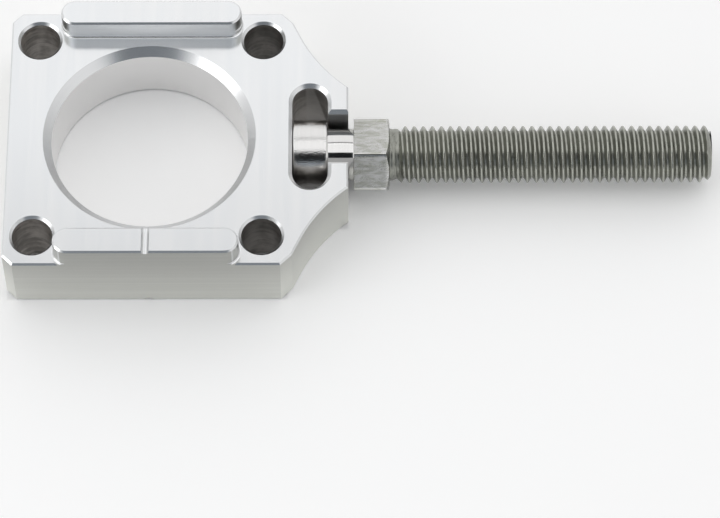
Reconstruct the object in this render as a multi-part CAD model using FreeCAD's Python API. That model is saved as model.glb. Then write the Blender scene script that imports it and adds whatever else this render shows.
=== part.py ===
"""Rear axle block of a motorcycle chain adjuster, with its captive T-headed adjuster bolt.

The block is one aluminium billet: a flat plate with a large axle bore, four corner holes,
two low rails along its long sides, a waisted nose and a T-slot that is open at the nose.
The bolt is one turned stainless piece: round head, neck, hexagon collar, undercut and
threaded shank. Its head sits in the T-slot, so it turns but can't pull out along its axis.

Frame: the origin is on the axle bore's axis in the plane of the flat side, +Z points out of
the rail side, and +X runs along the bolt, away from the bore. Millimetres.
"""
import FreeCAD, Part
import math
import os

from FreeCAD import Vector

# Plate
PLATE_THICKNESS = 10.0
BLOCK_WIDTH = 40.0          # across the two long sides
BORE_TO_BACK = 19.5         # from the axle's axis to the square end
BORE_TO_NOSE = 27.25        # from the axle's axis to the end that the bolt leaves by
CORNER_BEVEL = 1.4          # upright corners of the square end, at 45 degrees
SHOULDER_BEVEL = 0.85       # the same at the shoulders, measured along the long side
SHOULDER_BEVEL_SHARE = 0.8  # the most that the shoulders' bevel takes of a short flank
EDGE_CHAMFER = 0.25         # round the outline, on both sides

# Waist between the long sides and the nose
SHOULDER_TO_NOSE = 8.35     # along the block, from where the flank's line meets the long side
FLANK_ANGLE = 65.0          # degrees between the flank and the bolt's axis
WAIST_RADIUS = 22.0         # hollow curve from the flank to the nose
NOSE_WIDTH = 16.0

# Axle bore
BORE_DIAMETER = 27.0
BORE_CHAMFER_RAIL_SIDE = 1.1
BORE_CHAMFER_FLAT_SIDE = 0.4

# Corner holes: placed from the edges, they stand on a 31 mm square centred on the bore
HOLE_DIAMETER = 5.5
HOLE_TO_SIDE = 4.5          # from each hole's centre to the nearer long side
HOLE_TO_BACK = 4.0          # from the rear holes' centres to the square end
HOLE_TO_SHOULDER = 3.4      # from the front holes' centres to the shoulders, along the block
HOLE_CHAMFER = 0.35

# Rails
RAIL_TO_BORE = 1.5          # flat land between each rail and the bore's chamfer
RAIL_LENGTH = 25.0
RAIL_HEIGHT = 3.4
RAIL_ROOT_RADIUS = 0.3
RAIL_TOP_CHAMFER = 0.25

# Index grooves, in line with the axle: across one rail, and at the same edge of the flat side
RAIL_GROOVE_WIDTH = 1.05
RAIL_GROOVE_DEPTH = 0.5
FLAT_GROOVE_WIDTH = 1.2
FLAT_GROOVE_DEPTH = 0.5
FLAT_GROOVE_LENGTH = 5.5

# Bolt
HEAD_DIAMETER = 9.5
HEAD_THICKNESS = 4.7
HEAD_CHAMFER = 0.2
NECK_DIAMETER = 7.2
HEX_ACROSS_FLATS = 9.8
HEX_LENGTH = 4.9
HEX_FACE_DIAMETER = 9.5     # round face that the turned chamfer leaves on the thread's side
HEX_CHAMFER_ANGLE = 30.0
UNDERCUT_DIAMETER = 7.15
UNDERCUT_LENGTH = 1.3
THREAD_DIAMETER = 8.0
THREAD_LENGTH = 43.0
THREAD_DEPTH = 0.77         # the shank's end is chamfered down to the thread's root

# T-slot, and the clearances of the bolt in it
NOSE_WALL = 2.8             # metal between the head and the nose, which takes the pull
SLOT_LENGTH = 16.0          # end to end of the head's slot, across the block
HEAD_END_PLAY = 0.1         # each side of the head, along the bolt
NECK_SIDE_PLAY = 0.2        # each side of the neck, across the block
COLLAR_GAP = 0.75           # between the nose and the hexagon
SLOT_CHAMFER = 0.5

# How far a cutter runs past the face that it cuts
OVERRUN = 1.0

X_AXIS = Vector(1, 0, 0)
Y_AXIS = Vector(0, 1, 0)
Z_AXIS = Vector(0, 0, 1)

# Places that follow from the sizes above
SHOULDER_X = BORE_TO_NOSE - SHOULDER_TO_NOSE
RAIL_TOP = PLATE_THICKNESS + RAIL_HEIGHT
CHANNEL_WIDTH = BORE_DIAMETER + 2 * (BORE_CHAMFER_RAIL_SIDE + RAIL_TO_BORE)
RAIL_WIDTH = (BLOCK_WIDTH - CHANNEL_WIDTH) / 2
RAIL_CENTRE_Y = (BLOCK_WIDTH - RAIL_WIDTH) / 2
REAR_HOLE_X = HOLE_TO_BACK - BORE_TO_BACK
FRONT_HOLE_X = SHOULDER_X - HOLE_TO_SHOULDER
HOLE_Y = BLOCK_WIDTH / 2 - HOLE_TO_SIDE
BOLT_AXIS_Z = PLATE_THICKNESS / 2
SLOT_OUTER_X = BORE_TO_NOSE - NOSE_WALL
SLOT_WIDTH = HEAD_THICKNESS + 2 * HEAD_END_PLAY
SLOT_CENTRE_X = SLOT_OUTER_X - SLOT_WIDTH / 2
NECK_SLOT_WIDTH = NECK_DIAMETER + 2 * NECK_SIDE_PLAY
HEAD_END_X = SLOT_OUTER_X - HEAD_END_PLAY
HEAD_START_X = HEAD_END_X - HEAD_THICKNESS
HEX_START_X = BORE_TO_NOSE + COLLAR_GAP
HEX_END_X = HEX_START_X + HEX_LENGTH
THREAD_START_X = HEX_END_X + UNDERCUT_LENGTH
THREAD_END_X = THREAD_START_X + THREAD_LENGTH


def edges_at_height(shape, height):
    """The edges that lie wholly in the plane Z = height."""
    tolerance = 1e-6
    return [e for e in shape.Edges
            if abs(e.BoundBox.ZMin - height) < tolerance and abs(e.BoundBox.ZMax - height) < tolerance]


def turned(profile, axis_point, axis_direction):
    """A solid of revolution from a closed list of profile points."""
    face = Part.Face(Part.makePolygon(profile + profile[:1]))
    return face.revolve(axis_point, axis_direction, 360)


def obround(length, width, along, centre, z_low, z_high):
    """An upright prism with straight sides along one direction and full-round ends."""
    radius = width / 2
    across = Vector(-along.y, along.x, 0)
    base = Vector(centre.x, centre.y, z_low)
    left = base - along * (length / 2 - radius)
    right = base + along * (length / 2 - radius)
    outline = Part.Wire([
        Part.makeLine(left - across * radius, right - across * radius),
        Part.Arc(right - across * radius, right + along * radius, right + across * radius).toShape(),
        Part.makeLine(right + across * radius, left + across * radius),
        Part.Arc(left + across * radius, left - along * radius, left - across * radius).toShape(),
    ])
    return Part.Face(outline).extrude(Vector(0, 0, z_high - z_low))


def waist_points():
    """Where the waist arc leaves the flank, a point on it, and the nose corner, on the +Y side.

    The arc is tangent to the flank and ends at the nose corner. Its centre lies outside the
    metal, one radius from both.
    """
    angle = math.radians(FLANK_ANGLE)
    along = Vector(math.cos(angle), -math.sin(angle), 0)
    outward = Vector(math.sin(angle), math.cos(angle), 0)
    shoulder = Vector(SHOULDER_X, BLOCK_WIDTH / 2, 0)
    nose = Vector(BORE_TO_NOSE, NOSE_WIDTH / 2, 0)
    reach = shoulder + outward * WAIST_RADIUS - nose
    half_b = reach.dot(along)
    travel = -half_b - math.sqrt(half_b ** 2 - (reach.dot(reach) - WAIST_RADIUS ** 2))
    tangent = shoulder + along * travel
    centre = tangent + outward * WAIST_RADIUS
    between = ((tangent - centre) + (nose - centre)).normalize()
    middle = centre + between * WAIST_RADIUS
    return shoulder, tangent, middle, nose


def mirrored(point):
    """The same place on the -Y side."""
    return Vector(point.x, -point.y, point.z)


def plate():
    """The plate with its waist and nose, bevelled corners and chamfered outline."""
    shoulder, tangent, middle, nose = waist_points()
    back = Vector(-BORE_TO_BACK, BLOCK_WIDTH / 2, 0)
    angle = math.radians(FLANK_ANGLE)
    side_per_flank = math.sin(angle) - math.cos(angle)
    down_flank = min(SHOULDER_BEVEL / side_per_flank, SHOULDER_BEVEL_SHARE * (tangent - shoulder).Length)
    half = [
        back - Y_AXIS * CORNER_BEVEL,
        back + X_AXIS * CORNER_BEVEL,
        shoulder - X_AXIS * (down_flank * side_per_flank),
        shoulder + (tangent - shoulder).normalize() * down_flank,
        tangent,
    ]
    sides = [Part.makeLine(a, b) for a, b in zip(half, half[1:])]
    sides.append(Part.Arc(tangent, middle, nose).toShape())
    sides.append(Part.makeLine(nose, mirrored(nose)))
    sides.append(Part.Arc(mirrored(nose), mirrored(middle), mirrored(tangent)).toShape())
    other_half = [mirrored(point) for point in reversed(half)]
    sides += [Part.makeLine(a, b) for a, b in zip(other_half, other_half[1:])]
    sides.append(Part.makeLine(other_half[-1], half[0]))
    prism = Part.Face(Part.Wire(sides)).extrude(Vector(0, 0, PLATE_THICKNESS))
    rims = edges_at_height(prism, 0) + edges_at_height(prism, PLATE_THICKNESS)
    return prism.makeChamfer(EDGE_CHAMFER, rims)


def rail(side):
    """One rail with full-round ends and a root fillet, flush with the long side it stands on."""
    centre = Vector(0, side * RAIL_CENTRE_Y, 0)
    foot_margin = 1.5 * RAIL_ROOT_RADIUS
    sunk = PLATE_THICKNESS - 2 * EDGE_CHAMFER
    foot = obround(RAIL_LENGTH + 2 * foot_margin, RAIL_WIDTH + 2 * foot_margin, X_AXIS,
                   centre, sunk, PLATE_THICKNESS)
    upper = obround(RAIL_LENGTH, RAIL_WIDTH, X_AXIS, centre, sunk, RAIL_TOP)
    bar = foot.fuse(upper).removeSplitter()
    inside = RAIL_LENGTH / 2 + foot_margin / 2
    root = [e for e in edges_at_height(bar, PLATE_THICKNESS) if e.BoundBox.XMax < inside
            and e.BoundBox.XMin > -inside and abs(e.CenterOfMass.y - centre.y) < RAIL_WIDTH / 2 + 1e-3]
    bar = bar.makeFillet(RAIL_ROOT_RADIUS, root)
    bar = bar.makeChamfer(RAIL_TOP_CHAMFER, edges_at_height(bar, RAIL_TOP))
    between_sides = Part.makeBox(2 * RAIL_LENGTH, BLOCK_WIDTH, RAIL_TOP + OVERRUN,
                                 Vector(-RAIL_LENGTH, -BLOCK_WIDTH / 2, 0))
    return bar.common(between_sides)


def hole_cutter(diameter, x, y, chamfer_low, chamfer_high):
    """A round through-hole in the plate, chamfered at both faces."""
    radius = diameter / 2
    low = -OVERRUN
    high = PLATE_THICKNESS + OVERRUN
    profile = [
        Vector(x, y, low),
        Vector(x + radius + chamfer_low + OVERRUN, y, low),
        Vector(x + radius, y, chamfer_low),
        Vector(x + radius, y, PLATE_THICKNESS - chamfer_high),
        Vector(x + radius + chamfer_high + OVERRUN, y, high),
        Vector(x, y, high),
    ]
    return turned(profile, Vector(x, y, 0), Z_AXIS)


def t_slot_prism(grow, z_low, z_high):
    """The T-slot's outline, larger by grow all round, as an upright prism."""
    head_slot = obround(SLOT_LENGTH + 2 * grow, SLOT_WIDTH + 2 * grow, Y_AXIS,
                        Vector(SLOT_CENTRE_X, 0, 0), z_low, z_high)
    neck_width = NECK_SLOT_WIDTH + 2 * grow
    neck_slot = Part.makeBox(BORE_TO_NOSE + OVERRUN - SLOT_CENTRE_X, neck_width, z_high - z_low,
                             Vector(SLOT_CENTRE_X, -neck_width / 2, z_low))
    return head_slot.fuse(neck_slot).removeSplitter()


def t_slot_cutter():
    """The T-slot right through the plate, with its rim chamfered on both sides."""
    through = t_slot_prism(0, -OVERRUN, PLATE_THICKNESS + OVERRUN)
    low_flare = t_slot_prism(SLOT_CHAMFER, -OVERRUN, SLOT_CHAMFER)
    low_flare = low_flare.makeChamfer(SLOT_CHAMFER, edges_at_height(low_flare, SLOT_CHAMFER))
    high_start = PLATE_THICKNESS - SLOT_CHAMFER
    high_flare = t_slot_prism(SLOT_CHAMFER, high_start, PLATE_THICKNESS + OVERRUN)
    high_flare = high_flare.makeChamfer(SLOT_CHAMFER, edges_at_height(high_flare, high_start))
    return through.fuse([low_flare, high_flare])


def groove_cutter(width, bottom_z, outward, end_y):
    """What a ball-nosed cutter sweeps as it runs in from the -Y side and stops at end_y.

    Outward is 1 for a groove in a face that looks up and -1 for one that looks down.
    """
    radius = width / 2
    ball_z = bottom_z + outward * radius
    start_y = -BLOCK_WIDTH / 2 - OVERRUN
    last_y = end_y - radius
    run = Part.makeCylinder(radius, last_y - start_y, Vector(0, start_y, ball_z), Y_AXIS)
    ball = Part.makeSphere(radius, Vector(0, last_y, ball_z))
    shank_low, shank_high = sorted((ball_z, ball_z + 2 * outward * OVERRUN))
    middle = Vector(0, (start_y + end_y) / 2, 0)
    shank = obround(end_y - start_y, width, Y_AXIS, middle, shank_low, shank_high)
    return run.fuse([ball, shank])


def rail_groove_cutter():
    """The groove straight across the rail on the -Y side."""
    return groove_cutter(RAIL_GROOVE_WIDTH, RAIL_TOP - RAIL_GROOVE_DEPTH, 1,
                         -BLOCK_WIDTH / 2 + RAIL_WIDTH + OVERRUN)


def flat_groove_cutter():
    """The short groove at the -Y edge of the flat side."""
    return groove_cutter(FLAT_GROOVE_WIDTH, FLAT_GROOVE_DEPTH, -1, -BLOCK_WIDTH / 2 + FLAT_GROOVE_LENGTH)


def axle_block():
    """The whole block, one billet."""
    body = plate().fuse([rail(1), rail(-1)]).removeSplitter()
    cutters = [hole_cutter(BORE_DIAMETER, 0, 0, BORE_CHAMFER_FLAT_SIDE, BORE_CHAMFER_RAIL_SIDE)]
    for x in (REAR_HOLE_X, FRONT_HOLE_X):
        for y in (-HOLE_Y, HOLE_Y):
            cutters.append(hole_cutter(HOLE_DIAMETER, x, y, HOLE_CHAMFER, HOLE_CHAMFER))
    cutters += [t_slot_cutter(), rail_groove_cutter(), flat_groove_cutter()]
    for cutter in cutters:
        body = body.cut(cutter)
    return body.removeSplitter()


def at(x, radius):
    """A profile point of the bolt, at this place along it and this far above its axis."""
    return Vector(x, 0, BOLT_AXIS_Z + radius)


def hex_collar():
    """The hexagon that the spanner turns, one flat down.

    It has a turned chamfer on the thread's side, and is left square on the block's side.
    """
    corner_radius = HEX_ACROSS_FLATS / 2 / math.cos(math.radians(30))
    corners = [Vector(HEX_START_X, corner_radius * math.cos(math.radians(a)),
                      BOLT_AXIS_Z + corner_radius * math.sin(math.radians(a)))
               for a in range(0, 360, 60)]
    prism = Part.Face(Part.makePolygon(corners + corners[:1])).extrude(Vector(HEX_LENGTH, 0, 0))
    face_radius = HEX_FACE_DIAMETER / 2
    outer_radius = corner_radius + OVERRUN
    run = (outer_radius - face_radius) * math.tan(math.radians(HEX_CHAMFER_ANGLE))
    envelope = turned([
        at(HEX_START_X, 0),
        at(HEX_START_X, outer_radius),
        at(HEX_END_X - run, outer_radius),
        at(HEX_END_X, face_radius),
        at(HEX_END_X, 0),
    ], at(0, 0), X_AXIS)
    return prism.common(envelope)


def adjuster_bolt():
    """The bolt, one turned piece: head, neck, hexagon, undercut and threaded shank.

    The shank is plain at the thread's outer diameter.
    """
    head = HEAD_DIAMETER / 2
    neck = NECK_DIAMETER / 2
    undercut = UNDERCUT_DIAMETER / 2
    crest = THREAD_DIAMETER / 2
    spindle = turned([
        at(HEAD_START_X, 0),
        at(HEAD_START_X, head - HEAD_CHAMFER),
        at(HEAD_START_X + HEAD_CHAMFER, head),
        at(HEAD_END_X - HEAD_CHAMFER, head),
        at(HEAD_END_X, head - HEAD_CHAMFER),
        at(HEAD_END_X, neck),
        at(HEX_START_X + HEX_LENGTH / 2, neck),
        at(HEX_START_X + HEX_LENGTH / 2, undercut),
        at(THREAD_START_X, undercut),
        at(THREAD_START_X + crest - undercut, crest),
        at(THREAD_END_X - THREAD_DEPTH, crest),
        at(THREAD_END_X, crest - THREAD_DEPTH),
        at(THREAD_END_X, 0),
    ], at(0, 0), X_AXIS)
    return spindle.fuse(hex_collar()).removeSplitter()


def main():
    os.makedirs("parts", exist_ok=True)
    for name, shape in (("axle_block", axle_block()), ("adjuster_bolt", adjuster_bolt())):
        solid = shape.Solids[0]
        box = solid.BoundBox
        print(f"{name}: {len(shape.Solids)} solid, valid {solid.isValid()}, {solid.Volume:.1f} mm3, "
              f"X {box.XMin:.2f} to {box.XMax:.2f}, Y {box.YMin:.2f} to {box.YMax:.2f}, "
              f"Z {box.ZMin:.2f} to {box.ZMax:.2f}")
        solid.exportStep(f"parts/{name}.step")


main()
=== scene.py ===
"""Looks of the chain adjuster: finishes of the billet block, and the threaded bolt as one mesh.

The block keeps its own solid and gets a machined aluminium finish that changes from face to
face. The bolt is replaced by one closed mesh with the same sizes, a cut hexagon and a real
helical thread. Metres, in the part's own frame: +X along the bolt, +Z out of the rail side.
"""
import math

import bmesh
import bpy
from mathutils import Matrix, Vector


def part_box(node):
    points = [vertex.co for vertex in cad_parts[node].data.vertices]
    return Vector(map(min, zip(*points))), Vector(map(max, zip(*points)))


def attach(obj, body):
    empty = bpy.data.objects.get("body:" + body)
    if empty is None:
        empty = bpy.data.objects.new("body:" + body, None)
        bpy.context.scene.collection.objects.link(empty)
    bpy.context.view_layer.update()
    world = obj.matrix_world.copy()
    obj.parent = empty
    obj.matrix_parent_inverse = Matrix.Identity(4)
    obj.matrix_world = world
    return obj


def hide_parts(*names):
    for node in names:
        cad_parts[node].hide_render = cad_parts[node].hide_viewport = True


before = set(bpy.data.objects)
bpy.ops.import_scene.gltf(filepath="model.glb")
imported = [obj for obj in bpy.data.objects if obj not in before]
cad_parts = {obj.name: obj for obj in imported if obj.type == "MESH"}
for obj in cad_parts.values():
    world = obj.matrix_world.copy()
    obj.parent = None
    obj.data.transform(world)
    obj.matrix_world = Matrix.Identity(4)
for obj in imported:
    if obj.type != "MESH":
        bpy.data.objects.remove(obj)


def grey(level, warmth=0.0):
    """An RGBA grey, a little redder than blue where warmth is above 0."""
    return (level * (1 + warmth), level, level * (1 - warmth), 1)


def olive(level):
    """A grey with less blue, as dull steel has."""
    return (level * 0.985, level, level * 0.90, 1)


MM = 0.001
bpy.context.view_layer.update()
BLOCK_LOW, BLOCK_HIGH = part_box("axle_block")
BOLT_LOW, BOLT_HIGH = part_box("adjuster_bolt")

# Camera, where the photograph's was
CAMERA_AZIMUTH = math.radians(-0.12)
CAMERA_ELEVATION = math.radians(61.15)
CAMERA_DISTANCE = 532.9 * MM
CAMERA_TARGET = Vector((28.83 * MM, -13.70 * MM, 0))
LENS = 193.7
SENSOR_WIDTH = 36

# World. Angles rise from the horizon in front, over the top, to the horizon behind
WORLD_LEVEL = 0.98
WORLD_FROM_HEIGHT = 0.45             # a direction's z from which the level is WORLD_LEVEL
LEFT_HORIZON_LEVEL = 0.80
RIGHT_HORIZON_LEVEL = 0.56
HORIZON_BLEND = 0.3                  # a direction's x at which one horizon's level is reached
WORLD_FRONT_LEVEL = 0.12
STRIP_LEVEL = 0.34
UNLIT_LEVEL = 0.014
GAP_LEVEL = 0.35                     # behind the lamp, up to UNLIT_TO
STRIP_FROM = math.radians(15)
UNLIT_FROM = math.radians(32)
UNLIT_TO = math.radians(118.2)
FRONT_SOFTNESS = math.radians(4)
BACK_SOFTNESS = math.radians(1)
WORLD_SIDE_NEAR = 0.35               # a direction's x up to which the unlit part is full
WORLD_SIDE_FAR = 0.60
FRONT_TINT = grey(1.0, -0.09)
LAMP_FADE = 0.1                      # radians beside the lamp over which the world changes

# Lamps and floor
LAMP_HEIGHT = 1.0
LAMP_FROM = math.radians(70)
LAMP_TO = math.radians(111.5)
LAMP_WIDTH = 1.1
LAMP_LEVEL = 1.05
SIDE_LAMP_PLACE = (-0.75, -0.32, 0.30)
SIDE_LAMP_WIDTH = 0.5
SIDE_LAMP_HEIGHT = 0.45
SIDE_LAMP_LEVEL = 1.8
FLOOR_COLOUR = grey(0.99)
FLOOR_ROUGHNESS = 0.9
FLOOR_HALF_SIZE = 1.5
FLOOR_DROP = 0.02 * MM               # keeps the floor out of the plane of the block's flat side
FLOOR_GLOW = 0.11                    # only for the camera and glosses, and not under the block
GLOW_COLOUR = grey(1.0)

# Block
BORE_RADIUS = 13.5 * MM
HOLE_RADIUS = 2.75 * MM
HOLE_OFFSET = 15.5 * MM
SLOT_CENTRE_X = 22.0 * MM
SLOT_HALF_WIDTH = 2.45 * MM
SLOT_HALF_LENGTH = 8.0 * MM
NECK_SLOT_HALF_WIDTH = 3.8 * MM
PLATE_TOP = 10 * MM
RAIL_TOP = BLOCK_HIGH.z
RAIL_OUTER_WALL = BLOCK_HIGH.y
SHOULDER_X = 18.9 * MM
NOSE_HALF_WIDTH = 9 * MM             # of the floor's dark patch under the nose
BEVEL_FROM_Y = 17 * MM
BEVEL_FROM_CENTRE = 26.3 * MM
BEVEL_SLANT = 0.45                   # a normal's x times its y: 0.5 on a bevel, 0.38 on a flank
BORE_REACH = 0.2 * MM                # how far past its own wall a finish is looked for
REACH = 0.1 * MM
FINE_REACH = 0.05 * MM

# Block's finish, dark and pale sides of each mottled colour
FACE_DARK = grey(0.90, -0.020)
FACE_PALE = grey(0.94, -0.010)
FACE_ROUGHNESS = (0.14, 0.20)
CHAMFER_COLOUR = grey(0.76, -0.01)
CHAMFER_ROUGHNESS = 0.26
# painted shade: the walls are the faces' aluminium, set much darker here
WALL_DARK = (0.66, 0.665, 0.625, 1)
WALL_PALE = (0.74, 0.745, 0.705, 1)
# painted light: a paler grey for the bevels and the nose
WALL_PAINTED_LIGHT = (0.875, 0.88, 0.83, 1)
WALL_PAINTED_LIGHT_SHARE = 0.65
WALL_PAINTED_SHADE = grey(0.10)               # painted shade, mixed in towards the top of the walls
WALL_PAINTED_SHADE_SHARE = 0.50
WALL_ROUGHNESS = (0.34, 0.44)
RAIL_SIDE_COLOUR = grey(0.94, -0.02)
RAIL_SIDE_ROUGHNESS = 0.62
BORE_COLOUR = grey(0.84, 0.008)
BORE_ROUGHNESS = 0.32
HOLE_DARK = grey(0.42, 0.04)
HOLE_PALE = grey(0.88, 0.035)
HOLE_PAINTED_SHADE = grey(0.2, 0.03)         # painted shade, stronger in the holes nearer the bolt
HOLE_PAINTED_SHADE_SHARE = 0.45
SLOT_DARK = grey(0.60, 0.04)
SLOT_PALE = grey(0.92, 0.035)
# painted shade on the slot's near walls
SLOT_NEAR_PAINTED_SHADE = grey(0.45, 0.03)
SLOT_PAINTED_LIGHT = grey(1.0, 0.02)          # painted light as a pale wedge in the slot's far end, and painted shade beside it
SLOT_PAINTED_LIGHT_SHARE = 0.7
SLOT_PAINTED_EDGE_SLOPE = 0.257
SLOT_PAINTED_EDGE_X = 2.76 * MM
# painted shade beside the slot's pale wedge
SLOT_PAINTED_SHADE = grey(0.2)
SLOT_PAINTED_SHADE_SHARE = 0.5
# painted shade: the neck slot's walls are the block's aluminium, set dark
NECK_SLOT_PAINTED_SHADE = grey(0.46)
INSIDE_ROUGHNESS = 0.34

# Bolt
AXIS_Z = (BOLT_LOW.z + BOLT_HIGH.z) / 2
HEAD_START_X = BOLT_LOW.x
HEAD_END_X = HEAD_START_X + 4.7 * MM
HEAD_RADIUS = 4.75 * MM
HEAD_BEVEL = 0.2 * MM
NECK_RADIUS = 3.6 * MM
NECK_FILLET = 0.12 * MM
COLLAR_GAP = 0.75 * MM
HEX_START_X = BLOCK_HIGH.x + COLLAR_GAP
HEX_END_X = HEX_START_X + 4.9 * MM
HEX_APOTHEM = (BOLT_HIGH.z - BOLT_LOW.z) / 2
HEX_FLAT = math.radians(60)          # round the axis, from corner to corner
HEX_FACE_RADIUS = 4.75 * MM
HEX_CHAMFER_SLOPE = math.tan(math.radians(30))
HEX_EDGE_BREAK = 0.06 * MM
HEX_CORNER_EASE = math.radians(1.6)
ROLLED_EDGE = 0.75 * MM
HEX_ROLL_SLOPE = 0.45
UNDERCUT_RADIUS = 3.575 * MM
UNDERCUT_FILLET = 0.2 * MM
FILLET_MIDDLE = 0.3                  # where a fillet's middle is, as a share of its radius
STEPS_PER_FLAT = 16
SHARP_ANGLE = math.radians(32)

# Thread, M8
PITCH = 1.25 * MM
UNDERCUT_END_X = HEX_END_X + 1.3 * MM
THREAD_START_X = HEX_END_X + 0.3 * MM
THREAD_END_X = BOLT_HIGH.x
CREST_RADIUS = 3.955 * MM
ROOT_RADIUS = 3.23 * MM
SHARP_CREST_RADIUS = 4.135 * MM      # where the two flanks would meet
FLANK_SLOPE = math.tan(math.radians(30))
THREAD_ROUNDING = 0.05 * MM
CREST_X = 35.0 * MM                  # a crest's place on the bolt's +Y side
THREAD_PHASES = (-0.5, -0.41, -0.37, -0.125, -0.09, -0.055, 0, 0.055, 0.09, 0.125, 0.37, 0.41)

# Bolt's finishes
POLISHED_DARK = grey(0.74, 0.01)
POLISHED_PALE = grey(0.82, 0.008)
NECK_ROUGHNESS = 0.09
HEAD_ROUGHNESS = (0.12, 0.18)
HEX_DARK = olive(0.48)
HEX_PALE = grey(0.68, 0.005)
HEX_PAINTED_SHADE = grey(0.2)                # painted shade, mixed in towards the block
HEX_PAINTED_SHADE_SHARE = 0.12
HEX_ROUGHNESS = (0.22, 0.32)
HEX_CORNER_ROUGHNESS = 0.12
HEX_CORNER_FROM = 5.50 * MM
HEX_CORNER_TO = 5.56 * MM
# the thread's greys: dull rolled steel, set darker still as painted shade
THREAD_DARK = olive(0.25)
THREAD_PALE = olive(0.38)
THREAD_ROOT = olive(0.40)
THREAD_CREST = olive(0.43)
THREAD_ROUGHNESS = (0.26, 0.36)
CREST_ROUGHNESS = 0.2


class Graph:
    """Short calls for the nodes that the finishes and the studio share."""

    def __init__(self, tree):
        self.tree = tree
        self.place = self.add("ShaderNodeTexCoord")

    def add(self, kind, inputs=(), **settings):
        node = self.tree.nodes.new(kind)
        for key, value in settings.items():
            setattr(node, key, value)
        for key, value in dict(inputs).items():
            self.feed(node.inputs[key], value)
        return node

    def feed(self, socket, value):
        if isinstance(value, bpy.types.NodeSocket):
            self.tree.links.new(value, socket)
        else:
            socket.default_value = value

    def math(self, operation, *values):
        node = self.add("ShaderNodeMath", operation=operation)
        for socket, value in zip(node.inputs, values):
            self.feed(socket, value)
        return node.outputs[0]

    def plus(self, a, b):
        return self.math("ADD", a, b)

    def minus(self, a, b):
        return self.math("SUBTRACT", a, b)

    def less(self, a, b):
        return self.math("LESS_THAN", a, b)

    def more(self, a, b):
        return self.math("GREATER_THAN", a, b)

    def most(self, a, b):
        return self.math("MAXIMUM", a, b)

    def size(self, value):
        return self.math("ABSOLUTE", value)

    def split(self, vector):
        return self.add("ShaderNodeSeparateXYZ", {"Vector": vector}).outputs[:3]

    def noise(self, vector, scale=1.0, detail=2.0, roughness=0.5, distortion=0.0):
        node = self.add("ShaderNodeTexNoise", {"Vector": vector, "Scale": scale, "Detail": detail,
                                               "Roughness": roughness, "Distortion": distortion})
        return node.outputs["Fac"]

    def ramp(self, value, low, high, to_low=0.0, to_high=1.0):
        """A smooth step of a value from one range to another."""
        node = self.add("ShaderNodeMapRange", {"Value": value, "From Min": low, "From Max": high,
                                               "To Min": to_low, "To Max": to_high},
                        interpolation_type="SMOOTHSTEP")
        return node.outputs["Result"]

    def mix(self, factor, a, b):
        """One number where the factor is 0, the other where it is 1."""
        node = self.add("ShaderNodeMix", {0: factor, 2: a, 3: b}, data_type="FLOAT")
        return node.outputs[0]

    def mix_colour(self, factor, a, b):
        node = self.add("ShaderNodeMix", {0: factor, 6: a, 7: b}, data_type="RGBA")
        return node.outputs[2]

    def blend(self, share, a, b):
        """Two textures as one, the first with the share given."""
        return self.plus(self.product(a, share), self.product(b, 1 - share))

    def product(self, *values):
        total = values[0]
        for value in values[1:]:
            total = self.math("MULTIPLY", total, value)
        return total

    def radius(self, a, b):
        return self.math("SQRT", self.plus(self.product(a, a), self.product(b, b)))


class Finish(Graph):
    """A finish being built, on its own material."""

    def __init__(self, name, metallic=1.0):
        self.material = bpy.data.materials.new(name)
        self.material.use_nodes = True
        super().__init__(self.material.node_tree)
        self.surface = self.tree.nodes["Principled BSDF"]
        self.surface.inputs["Metallic"].default_value = metallic
        self.x, self.y, self.z = self.split(self.place.outputs["Object"])

    def stretched(self, x, y, z):
        """The object's place, scaled by its own factor along each axis."""
        scale = self.add("ShaderNodeVectorMath", {1: (x, y, z)}, operation="MULTIPLY")
        self.feed(scale.inputs[0], self.place.outputs["Object"])
        return scale.outputs[0]

    def from_axis(self):
        """How far a place is from the bolt's axis."""
        return self.radius(self.y, self.minus(self.z, AXIS_Z))

    def bump(self, height, depth, before=None):
        node = self.add("ShaderNodeBump", {"Height": height, "Distance": depth, "Strength": 1.0})
        if before is not None:
            self.feed(node.inputs["Normal"], before)
        return node.outputs["Normal"]

    def set(self, name, value):
        self.feed(self.surface.inputs[name], value)


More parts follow.
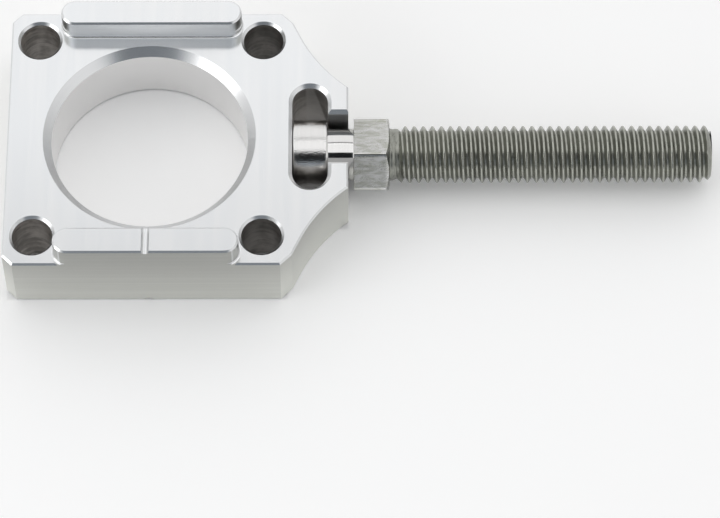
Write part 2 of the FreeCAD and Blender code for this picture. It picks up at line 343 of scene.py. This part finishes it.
class BlockFinish(Finish):
    """Machined aluminium: faced flats, milled walls, a bored axle hole and drilled corner holes."""

    def __init__(self):
        super().__init__("block_aluminium")
        self.find_places()
        self.cloud = self.noise(self.stretched(60, 40, 60), detail=3)
        self.mill_lines = self.noise(self.stretched(25, 25, 2600), detail=3, roughness=0.6)
        self.rings = self.noise(self.stretched(160, 160, 1500), detail=3, roughness=0.6)
        smudges = self.noise(self.stretched(330, 330, 260), detail=3, roughness=0.6)
        self.stained = self.blend(0.4, self.rings, smudges)
        self.set("Base Color", self.colour())
        self.set("Roughness", self.roughness())
        self.set("Normal", self.normal())

    def find_places(self):
        """Each kind of surface, as 1 where it is and 0 elsewhere."""
        self.nx, self.ny, nz = self.split(self.place.outputs["Normal"])
        off_x, off_y = self.size(self.x), self.size(self.y)
        self.wall = self.ramp(self.size(nz), 0.5, 0.3)
        self.flat = self.ramp(self.size(nz), 0.9, 0.97)
        self.bored = self.product(self.wall, self.less(self.radius(self.x, self.y), BORE_RADIUS + BORE_REACH))
        from_hole = self.radius(self.minus(off_x, HOLE_OFFSET), self.minus(off_y, HOLE_OFFSET))
        self.drilled = self.product(self.wall, self.less(from_hole, HOLE_RADIUS + REACH))
        from_slot = self.size(self.minus(self.x, SLOT_CENTRE_X))
        self.head_slot = self.product(self.wall, self.less(from_slot, SLOT_HALF_WIDTH + REACH),
                                      self.less(off_y, SLOT_HALF_LENGTH + REACH))
        past_slot = self.more(self.x, SLOT_CENTRE_X + SLOT_HALF_WIDTH + REACH)
        self.neck_slot = self.product(self.wall, past_slot,
                                      self.less(off_y, NECK_SLOT_HALF_WIDTH + FINE_REACH))
        self.inside = self.most(self.most(self.drilled, self.neck_slot), self.head_slot)
        self.rail_side = self.product(self.wall, self.more(self.z, PLATE_TOP + FINE_REACH),
                                      self.less(off_y, RAIL_OUTER_WALL - 0.3 * MM),
                                      self.ramp(self.size(self.ny), 0.7, 0.97))

    def face_colour(self):
        streaks = self.noise(self.stretched(900, 35, 35), detail=2)
        tone = self.blend(0.6, self.cloud, streaks)
        return self.mix_colour(self.ramp(tone, 0.35, 0.65), FACE_DARK, FACE_PALE)

    def wall_colour(self):
        """The long sides and the square end, the faces' aluminium set darker as painted shade, paler on the
        bevels and the nose as painted light, and darker towards the top as painted shade.
        """
        colour = self.mix_colour(self.ramp(self.mill_lines, 0.3, 0.7), WALL_DARK, WALL_PALE)
        bevel = self.product(self.more(self.size(self.y), BEVEL_FROM_Y),
                             self.more(self.size(self.product(self.nx, self.ny)), BEVEL_SLANT),
                             self.less(self.z, PLATE_TOP + FINE_REACH),
                             self.more(self.radius(self.x, self.y), BEVEL_FROM_CENTRE))
        # painted light on the bevels and on the nose past the shoulder
        painted_light_place = self.most(bevel, self.more(self.x, SHOULDER_X))
        colour = self.mix_colour(self.product(painted_light_place, WALL_PAINTED_LIGHT_SHARE), colour, WALL_PAINTED_LIGHT)
        # painted shade: the walls darken towards their top
        painted_shade_towards_top = self.ramp(self.z, -0.2 * RAIL_TOP, RAIL_TOP)
        return self.mix_colour(self.product(painted_shade_towards_top, WALL_PAINTED_SHADE_SHARE), colour, WALL_PAINTED_SHADE)

    def hole_colour(self):
        colour = self.mix_colour(self.ramp(self.stained, 0.38, 0.62), HOLE_DARK, HOLE_PALE)
        # painted shade: the holes nearer the bolt are darker
        painted_shade = self.ramp(self.x, -HOLE_OFFSET, HOLE_OFFSET, 0.0, HOLE_PAINTED_SHADE_SHARE)
        return self.mix_colour(painted_shade, colour, HOLE_PAINTED_SHADE)

    def slot_colour(self):
        colour = self.mix_colour(self.ramp(self.stained, 0.38, 0.62), SLOT_DARK, SLOT_PALE)
        from_centre = self.minus(self.x, SLOT_CENTRE_X)
        slant = self.math("MULTIPLY_ADD", self.z, SLOT_PAINTED_EDGE_SLOPE, -SLOT_PAINTED_EDGE_X)
        past_painted_edge = self.plus(from_centre, slant)
        # painted light: a pale wedge in the slot's far end
        painted_light_wedge = self.product(self.ramp(from_centre, -0.8 * MM, -0.4 * MM),
                            self.ramp(past_painted_edge, 0.15 * MM, -0.15 * MM))
        colour = self.mix_colour(self.product(painted_light_wedge, SLOT_PAINTED_LIGHT_SHARE), colour, SLOT_PAINTED_LIGHT)
        # painted shade beside the wedge
        painted_shade = self.ramp(past_painted_edge, 0, 0.3 * MM, 0.0, SLOT_PAINTED_SHADE_SHARE)
        colour = self.mix_colour(painted_shade, colour, SLOT_PAINTED_SHADE)
        # painted shade: the slot's walls darken towards its near end
        return self.mix_colour(self.ramp(self.y, 3 * MM, -2 * MM), colour, SLOT_NEAR_PAINTED_SHADE)

    def colour(self):
        colour = self.mix_colour(self.flat, CHAMFER_COLOUR, self.face_colour())
        for where, there in ((self.wall, self.wall_colour()), (self.rail_side, RAIL_SIDE_COLOUR),
                             (self.bored, BORE_COLOUR), (self.drilled, self.hole_colour()),
                             (self.head_slot, self.slot_colour()), (self.neck_slot, NECK_SLOT_PAINTED_SHADE)):
            colour = self.mix_colour(where, colour, there)
        return colour

    def roughness(self):
        roughness = self.mix(self.flat, CHAMFER_ROUGHNESS, self.ramp(self.cloud, 0.3, 0.7, *FACE_ROUGHNESS))
        for where, there in ((self.wall, self.ramp(self.mill_lines, 0.3, 0.7, *WALL_ROUGHNESS)),
                             (self.rail_side, RAIL_SIDE_ROUGHNESS), (self.bored, BORE_ROUGHNESS),
                             (self.inside, INSIDE_ROUGHNESS)):
            roughness = self.mix(where, roughness, there)
        return roughness

    def normal(self):
        """Fine milling on the walls, rings in the holes and the slot, and a facing cut on the flats."""
        facing = self.noise(self.stretched(2500, 60, 60), detail=1)
        normal = self.bump(self.product(self.wall, self.mill_lines), 0.003 * MM)
        normal = self.bump(self.product(self.inside, self.rings), 0.02 * MM, normal)
        return self.bump(self.product(self.flat, facing), 0.0005 * MM, normal)


def bright_steel():
    """The turned and polished head and neck."""
    s = Finish("bright_steel")
    turning = s.noise(s.stretched(9000, 60, 60), detail=2)
    specks = s.noise(s.stretched(5200, 5200, 5200), detail=2)
    head = s.less(s.x, HEAD_END_X + 0.01 * MM)
    s.set("Base Color", s.mix_colour(turning, POLISHED_DARK, POLISHED_PALE))
    s.set("Roughness", s.mix(head, NECK_ROUGHNESS, s.ramp(specks, 0.3, 0.7, *HEAD_ROUGHNESS)))
    s.set("Normal", s.bump(s.product(head, specks), 0.026 * MM, s.bump(turning, 0.0005 * MM)))
    return s.material


def brushed_steel():
    """The hexagon's flats, dressed with a coarse wheel that rolled their edge over by the thread."""
    s = Finish("brushed_steel")
    lines = s.noise(s.stretched(520, 3200, 3200), detail=2, roughness=0.6, distortion=0.6)
    swirl = s.noise(s.stretched(420, 900, 900), detail=3, roughness=0.6, distortion=1.2)
    tone = s.blend(0.6, lines, swirl)
    colour = s.mix_colour(s.ramp(tone, 0.35, 0.65), HEX_DARK, HEX_PALE)
    # painted shade on the hexagon towards the block
    towards_block = s.ramp(s.x, HEX_END_X - 1.5 * MM, HEX_START_X)
    s.set("Base Color", s.mix_colour(s.product(towards_block, HEX_PAINTED_SHADE_SHARE), colour, HEX_PAINTED_SHADE))
    corner = s.ramp(s.from_axis(), HEX_CORNER_FROM, HEX_CORNER_TO)
    s.set("Roughness", s.mix(corner, s.ramp(swirl, 0.3, 0.7, *HEX_ROUGHNESS), HEX_CORNER_ROUGHNESS))
    past = s.most(s.minus(s.x, HEX_END_X - ROLLED_EDGE), 0.0)
    fall = s.product(past, past, -HEX_ROLL_SLOPE / (2 * ROLLED_EDGE * MM))
    s.set("Normal", s.bump(tone, 0.0028 * MM, s.bump(fall, MM)))
    return s.material


def threaded_steel():
    """The rolled thread and its undercut: dull flanks, with crests and roots burnished brighter, all set
    darker still as painted shade.
    """
    s = Finish("threaded_steel")
    grain = s.noise(s.stretched(1800, 700, 700), detail=4, roughness=0.7)
    patches = s.noise(s.stretched(120, 260, 260), detail=2)
    tone = s.blend(0.6, grain, patches)
    radius = s.from_axis()
    crest = s.ramp(radius, CREST_RADIUS - 0.08 * MM, CREST_RADIUS - 0.02 * MM)
    root = s.ramp(radius, ROOT_RADIUS + 0.20 * MM, ROOT_RADIUS + 0.05 * MM)
    colour = s.mix_colour(s.ramp(tone, 0.38, 0.62), THREAD_DARK, THREAD_PALE)
    colour = s.mix_colour(root, colour, THREAD_ROOT)
    s.set("Base Color", s.mix_colour(crest, colour, THREAD_CREST))
    s.set("Roughness", s.mix(crest, s.ramp(grain, 0.3, 0.7, *THREAD_ROUGHNESS), CREST_ROUGHNESS))
    s.set("Normal", s.bump(grain, 0.004 * MM))
    return s.material


def station_angles():
    """Angles round the bolt from +Y towards +Z: even steps, closer beside each hexagon corner."""
    steps = [HEX_FLAT * i / STEPS_PER_FLAT for i in range(STEPS_PER_FLAT)]
    one_flat = sorted(steps + [HEX_CORNER_EASE, HEX_FLAT - HEX_CORNER_EASE])
    return [corner * HEX_FLAT + angle for corner in range(6) for angle in one_flat]


ANGLES = station_angles()


def hex_radius(angle):
    """How far the hexagon's side is from the axis, with its corners eased."""
    from_corner = angle % HEX_FLAT
    if min(from_corner, HEX_FLAT - from_corner) < HEX_CORNER_EASE / 2:
        corner = HEX_APOTHEM / math.cos(HEX_FLAT / 2 - HEX_CORNER_EASE)
        sharp = HEX_APOTHEM / math.cos(HEX_FLAT / 2)
        return corner + (sharp - corner) / 3
    return HEX_APOTHEM / math.cos(from_corner - HEX_FLAT / 2)


def soft_limit(value, limit, sign):
    """The lower (sign -1) or higher (sign 1) of two numbers, rounded where they cross."""
    return (value + limit + sign * math.hypot(value - limit, THREAD_ROUNDING)) / 2


def thread_radius(x, phase):
    """The thread's surface at a place along the bolt and a phase, in pitches from a crest."""
    flank = SHARP_CREST_RADIUS - abs(phase) * PITCH / FLANK_SLOPE
    full = soft_limit(soft_limit(flank, CREST_RADIUS, -1), ROOT_RADIUS, 1)
    grown = min(1, max(0, (x - THREAD_START_X) / (UNDERCUT_END_X - THREAD_START_X)))
    bar = UNDERCUT_RADIUS + max(0, x - UNDERCUT_END_X)
    radius = bar + grown * (min(full, bar) - bar)
    return min(radius, ROOT_RADIUS + THREAD_END_X - x)


class BoltMesh:
    """The bolt's surface, made ring by ring from the head's end to the thread's end."""

    def __init__(self):
        self.mesh = bmesh.new()
        self.finish = 0

    def point(self, x, angle, radius):
        return self.mesh.verts.new((x, radius * math.cos(angle), AXIS_Z + radius * math.sin(angle)))

    def ring(self, x, radius):
        """A ring of points, where x and radius are numbers or functions of the angle."""
        return [self.point(x(a) if callable(x) else x, a, radius(a) if callable(radius) else radius)
                for a in ANGLES]

    def face(self, *points):
        different = list(dict.fromkeys(points))
        if len(different) > 2:
            self.mesh.faces.new(different).material_index = self.finish

    def join(self, ring, after):
        for i, point in enumerate(ring):
            j = (i + 1) % len(ring)
            self.face(point, after[i], after[j], ring[j])

    def lathe(self, start, profile):
        """Joins a ring to the rings of a list of (x, radius) points, and gives the last one."""
        for x, radius in profile:
            after = self.ring(x, radius)
            self.join(start, after)
            start = after
        return start

    def cap(self, ring, x, facing):
        """Closes an end, facing -X where facing is below 0 and +X otherwise."""
        centre = self.point(x, 0, 0)
        for i, point in enumerate(ring):
            other = ring[(i + 1) % len(ring)]
            self.face(*((centre, point, other) if facing < 0 else (centre, other, point)))

    def thread(self, start):
        """The helical thread, on rows that run along it, and the ring that it ends on."""
        end = self.ring(THREAD_END_X, ROOT_RADIUS)
        first = math.floor((THREAD_START_X - CREST_X) / PITCH) - 1
        last = math.ceil((THREAD_END_X - CREST_X) / PITCH) + 1
        rows = []
        for turn in range(first, last):
            for phase in THREAD_PHASES:
                rows.append([self.thread_point(turn, phase, i, start, end) for i in range(len(ANGLES))])
        per_turn = len(THREAD_PHASES)
        for index in range(len(rows) - per_turn - 1):
            this, above = rows[index], rows[index + 1]
            for i in range(len(ANGLES) - 1):
                self.face(this[i], above[i], above[i + 1], this[i + 1])
            self.face(this[-1], above[-1], rows[index + per_turn + 1][0], rows[index + per_turn][0])
        return end

    def thread_point(self, turn, phase, index, start, end):
        angle = ANGLES[index]
        x = CREST_X + PITCH * (turn + phase + angle / math.tau)
        if x <= THREAD_START_X:
            return start[index]
        if x >= THREAD_END_X:
            return end[index]
        return self.point(x, angle, thread_radius(x, phase))

    def head_and_neck(self):
        """The head's end face, its eased rims and the neck, up to the hexagon."""
        start = self.ring(HEAD_START_X, HEAD_RADIUS - HEAD_BEVEL)
        self.cap(start, HEAD_START_X, -1)
        rim = [(HEAD_START_X + HEAD_BEVEL * (1 - math.cos(t)), HEAD_RADIUS - HEAD_BEVEL * (1 - math.sin(t)))
               for t in (math.pi / 6, math.pi / 3, math.pi / 2)]
        back_rim = [(HEAD_START_X + HEAD_END_X - x, radius) for x, radius in reversed(rim)]
        middle = FILLET_MIDDLE * NECK_FILLET
        return self.lathe(start, rim + back_rim + [
            (HEAD_END_X, HEAD_RADIUS - HEAD_BEVEL),
            (HEAD_END_X, NECK_RADIUS + NECK_FILLET),
            (HEAD_END_X + middle, NECK_RADIUS + middle),
            (HEAD_END_X + NECK_FILLET, NECK_RADIUS),
            (HEX_START_X - NECK_FILLET, NECK_RADIUS),
            (HEX_START_X - middle, NECK_RADIUS + middle),
            (HEX_START_X, NECK_RADIUS + NECK_FILLET),
        ])

    def hexagon(self, start):
        """The hexagon, square by the block and turned back to a round face by the thread."""
        return self.lathe(start, [
            (HEX_START_X, lambda a: hex_radius(a) - HEX_EDGE_BREAK),
            (HEX_START_X + HEX_EDGE_BREAK, hex_radius),
            (lambda a: HEX_END_X - (hex_radius(a) - HEX_FACE_RADIUS) * HEX_CHAMFER_SLOPE, hex_radius),
            (HEX_END_X, HEX_FACE_RADIUS),
            (HEX_END_X, UNDERCUT_RADIUS + UNDERCUT_FILLET),
        ])

    def undercut(self, start):
        middle = FILLET_MIDDLE * UNDERCUT_FILLET
        return self.lathe(start, [
            (HEX_END_X + middle, UNDERCUT_RADIUS + middle),
            (HEX_END_X + UNDERCUT_FILLET, UNDERCUT_RADIUS),
            (THREAD_START_X, UNDERCUT_RADIUS),
        ])

    def to_object(self, name, materials):
        """Drops the points that no face uses, and makes the object."""
        loose = [v for v in self.mesh.verts if not v.link_faces]
        bmesh.ops.delete(self.mesh, geom=loose, context="VERTS")
        bmesh.ops.recalc_face_normals(self.mesh, faces=self.mesh.faces)
        for face in self.mesh.faces:
            face.smooth = True
        data = bpy.data.meshes.new(name)
        self.mesh.to_mesh(data)
        self.mesh.free()
        data.set_sharp_from_angle(angle=SHARP_ANGLE)
        for material in materials:
            data.materials.append(material)
        obj = bpy.data.objects.new(name, data)
        bpy.context.scene.collection.objects.link(obj)
        return obj


def bolt_object(materials):
    """The bolt as one closed mesh: head, neck, hexagon, undercut, thread."""
    bolt = BoltMesh()
    neck_end = bolt.head_and_neck()
    bolt.finish = 1
    hex_end = bolt.hexagon(neck_end)
    bolt.finish = 2
    thread_end = bolt.thread(bolt.undercut(hex_end))
    bolt.cap(thread_end, THREAD_END_X, 1)
    return bolt.to_object("threaded_bolt", materials)


def floor_finish():
    """Matt white, with a glow that only the camera and glosses see."""
    s = Finish("floor_white", metallic=0.0)
    s.set("Base Color", FLOOR_COLOUR)
    s.set("Roughness", FLOOR_ROUGHNESS)
    ray = s.add("ShaderNodeLightPath").outputs
    seen = s.most(ray["Is Camera Ray"], s.most(ray["Is Glossy Ray"], ray["Is Transmission Ray"]))
    half_width = s.mix(s.more(s.x, SHOULDER_X), BLOCK_HIGH.y, NOSE_HALF_WIDTH)
    under_block = s.product(s.more(s.x, BLOCK_LOW.x), s.less(s.x, BLOCK_HIGH.x),
                            s.less(s.size(s.y), half_width), s.more(s.radius(s.x, s.y), BORE_RADIUS))
    s.set("Emission Color", GLOW_COLOUR)
    s.set("Emission Strength", s.product(seen, s.minus(1.0, under_block), FLOOR_GLOW))
    return s.material


def make_floor():
    """A pale matt surface under the part."""
    data = bpy.data.meshes.new("floor")
    corners = [(x * FLOOR_HALF_SIZE, y * FLOOR_HALF_SIZE, -FLOOR_DROP)
               for x, y in ((-1, -1), (1, -1), (1, 1), (-1, 1))]
    data.from_pydata(corners, [], [(0, 1, 2, 3)])
    data.materials.append(floor_finish())
    floor = bpy.data.objects.new("floor", data)
    bpy.context.scene.collection.objects.link(floor)


def area_light(name, place, aim, width, height, radiance):
    """A soft box of a given radiance, facing a point."""
    light = bpy.data.lights.new(name, "AREA")
    light.shape = "RECTANGLE"
    light.size = width
    light.size_y = height
    light.energy = radiance * math.pi * width * height
    obj = bpy.data.objects.new(name, light)
    obj.location = place
    obj.rotation_euler = (Vector(aim) - Vector(place)).to_track_quat("-Z", "Y").to_euler()
    bpy.context.scene.collection.objects.link(obj)


def make_lamps():
    """A wide soft box overhead, and a smaller one low on the left."""
    front = -LAMP_HEIGHT / math.tan(LAMP_FROM)
    back = -LAMP_HEIGHT / math.tan(LAMP_TO)
    middle = (front + back) / 2
    area_light("overhead_box", (0, middle, LAMP_HEIGHT), (0, middle, 0), LAMP_WIDTH, back - front, LAMP_LEVEL)
    area_light("left_box", SIDE_LAMP_PLACE, (0, 0, 0), SIDE_LAMP_WIDTH, SIDE_LAMP_HEIGHT, SIDE_LAMP_LEVEL)


def make_world():
    """A pale studio: dimmer low in front, and unlit high in front and overhead, round the lamp."""
    world = bpy.data.worlds.new("studio")
    world.use_nodes = True
    bpy.context.scene.world = world
    g = Graph(world.node_tree)
    x, y, z = g.split(g.place.outputs["Generated"])
    rise = g.math("ARCTAN2", z, g.product(y, -1.0))
    in_front = g.less(y, 0.0)
    middle = g.ramp(g.size(x), WORLD_SIDE_FAR, WORLD_SIDE_NEAR)
    past_front = g.ramp(rise, UNLIT_FROM - FRONT_SOFTNESS, UNLIT_FROM + FRONT_SOFTNESS)
    before_back = g.ramp(rise, UNLIT_TO + BACK_SOFTNESS, UNLIT_TO - BACK_SOFTNESS)
    unlit = g.product(middle, past_front, before_back)
    low_front = g.product(middle, g.minus(1.0, past_front), in_front)
    horizon = g.ramp(x, -HORIZON_BLEND, HORIZON_BLEND, LEFT_HORIZON_LEVEL, RIGHT_HORIZON_LEVEL)
    front = g.ramp(rise, STRIP_FROM - FRONT_SOFTNESS, STRIP_FROM + FRONT_SOFTNESS,
                   WORLD_FRONT_LEVEL, STRIP_LEVEL)
    gap = g.ramp(rise, LAMP_TO - LAMP_FADE, LAMP_TO, UNLIT_LEVEL, GAP_LEVEL)
    level = g.ramp(z, 0.0, WORLD_FROM_HEIGHT, horizon, WORLD_LEVEL)
    level = g.mix(low_front, level, front)
    level = g.mix(unlit, level, gap)
    tinted = g.product(middle, g.ramp(rise, LAMP_FROM, LAMP_FROM - LAMP_FADE), in_front)
    background = world.node_tree.nodes["Background"]
    g.feed(background.inputs["Strength"], level)
    g.feed(background.inputs["Color"], g.mix_colour(tinted, grey(1.0), FRONT_TINT))


def make_camera():
    camera = bpy.data.cameras.new("camera")
    camera.lens = LENS
    camera.sensor_width = SENSOR_WIDTH
    obj = bpy.data.objects.new("camera", camera)
    back = Vector((math.sin(CAMERA_AZIMUTH) * math.cos(CAMERA_ELEVATION),
                   -math.cos(CAMERA_AZIMUTH) * math.cos(CAMERA_ELEVATION),
                   math.sin(CAMERA_ELEVATION)))
    obj.location = CAMERA_TARGET + back * CAMERA_DISTANCE
    obj.rotation_euler = (-back).to_track_quat("-Z", "Y").to_euler()
    bpy.context.scene.collection.objects.link(obj)
    bpy.context.scene.camera = obj


make_camera()
make_world()
make_floor()
make_lamps()

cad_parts["axle_block"].material_slots[0].material = BlockFinish().material
bolt = bolt_object([bright_steel(), brushed_steel(), threaded_steel()])
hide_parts("adjuster_bolt")
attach(bolt, "bolt")

view = bpy.context.scene.view_settings
view.view_transform = "Standard"
